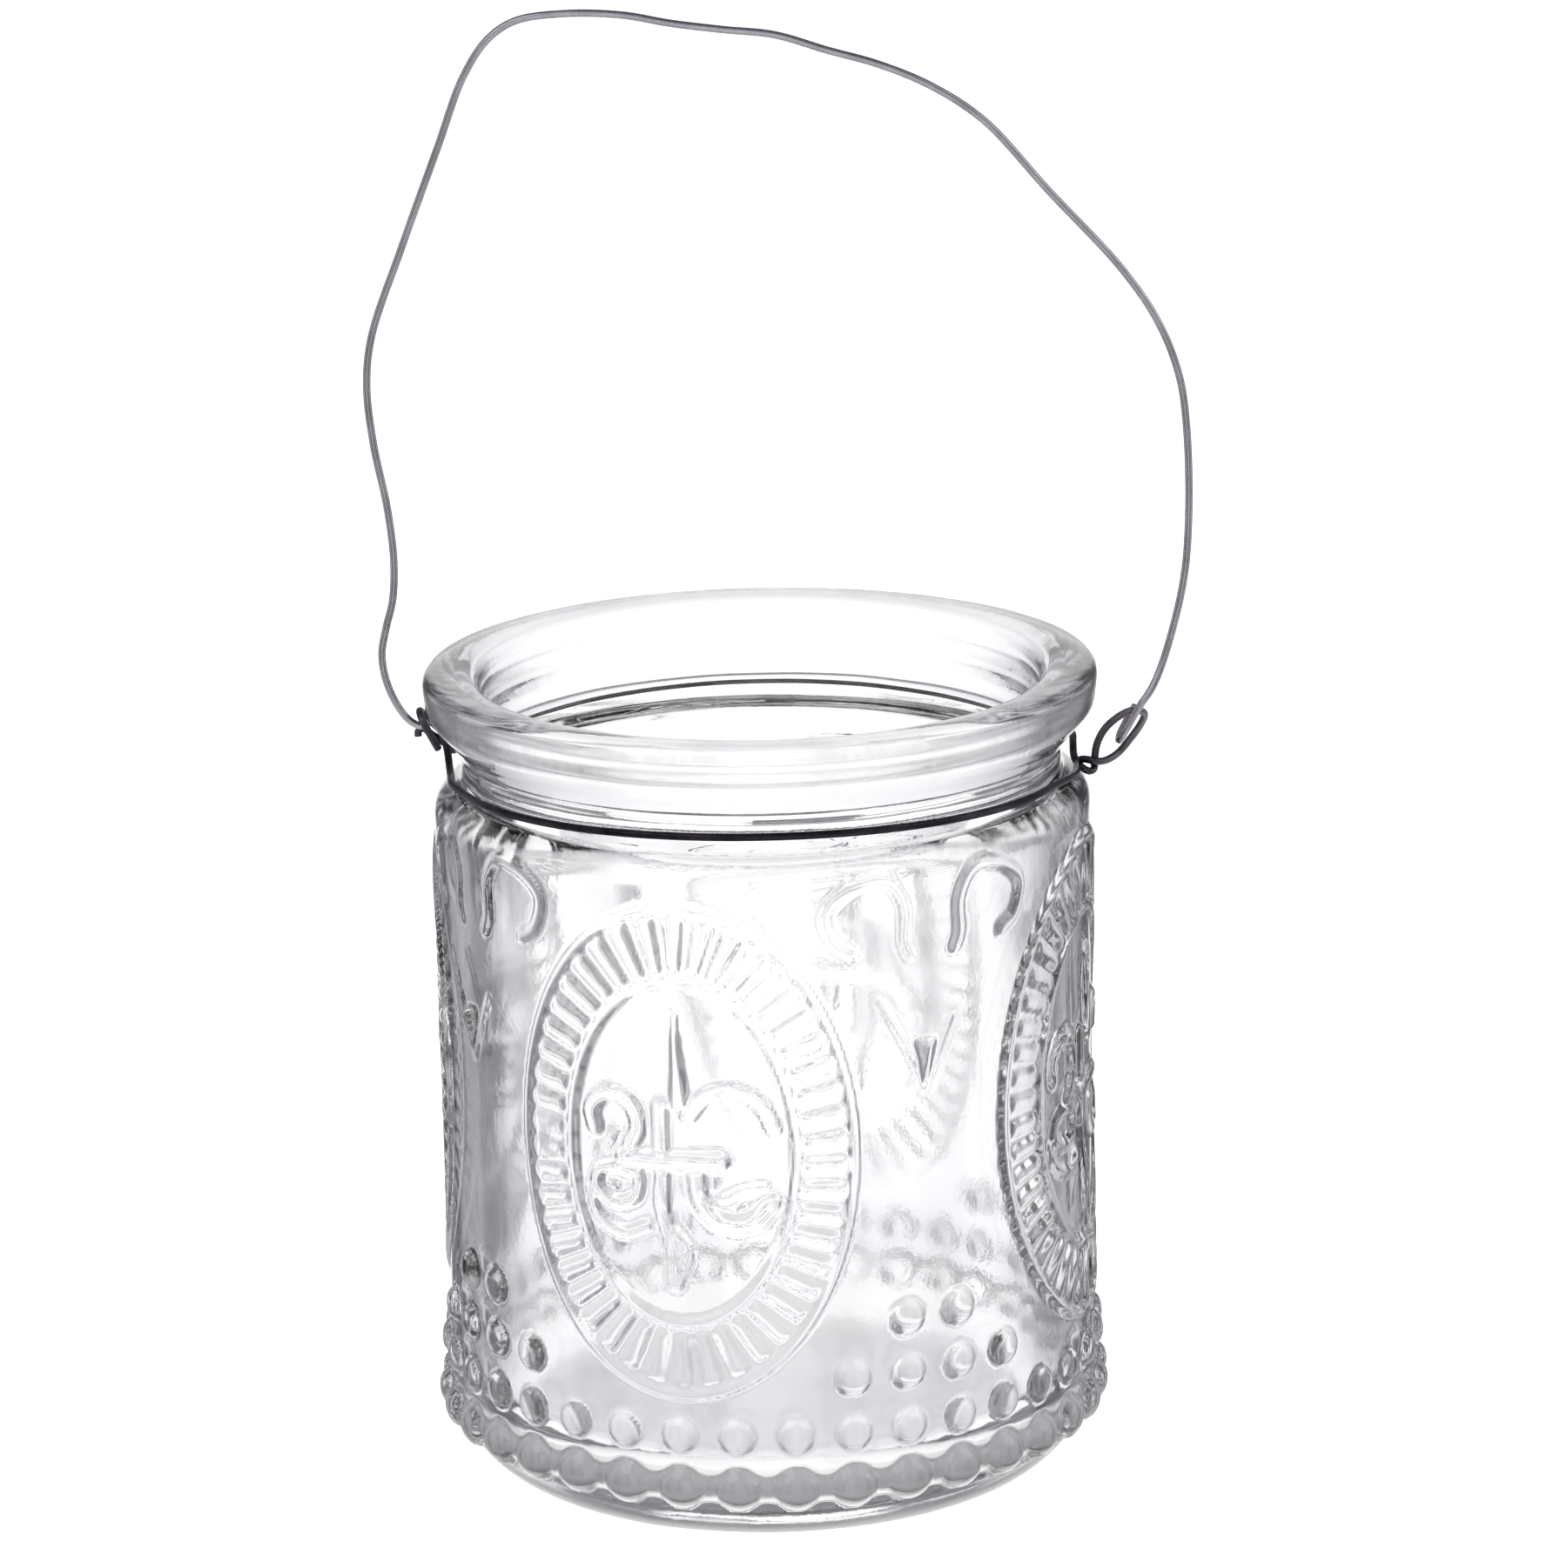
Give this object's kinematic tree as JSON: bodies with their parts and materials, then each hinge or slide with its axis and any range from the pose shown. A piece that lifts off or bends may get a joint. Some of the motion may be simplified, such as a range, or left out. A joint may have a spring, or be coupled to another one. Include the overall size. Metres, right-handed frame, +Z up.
{
  "type": "hanging glass jar lantern",
  "caption": "Clear pressed-glass lantern jar with oval medallions and beads, held by a wire twisted round its neck, with a hinged wire bail to hang or carry it by.",
  "frame": {"origin": "centre of the jar's flat underside, on the jar's axis", "axes": "+Z up along the jar's axis; X runs through the wire's two eyes, with the looped eye at +X; the front is at -Y"},
  "size_m": [0.0921, 0.076, 0.167],
  "materials": {
    "clear_glass": "clear pressed glass with a soft, slightly wavy surface",
    "neck_wire_steel": "dark annealed wire, satin",
    "bail_steel": "grey drawn wire, satin"
  },
  "bodies": {
    "jar": {"glass_jar": "clear_glass"},
    "collar": {"neck_wire": "neck_wire_steel"},
    "bail": {"wire_bail": "bail_steel"}
  },
  "joints": [
    {"name": "neck_wire_swivel", "type": "hinge", "parent": "jar", "child": "collar", "pos_m": [0, 0, 0.0819], "axis": [0, 0, 1], "continuous": true},
    {"name": "bail_swing", "type": "hinge", "parent": "collar", "child": "bail", "pos_m": [0, 0, 0.0865], "axis": [1, 0, 0], "range_deg": [-140, 140]}
  ]
}
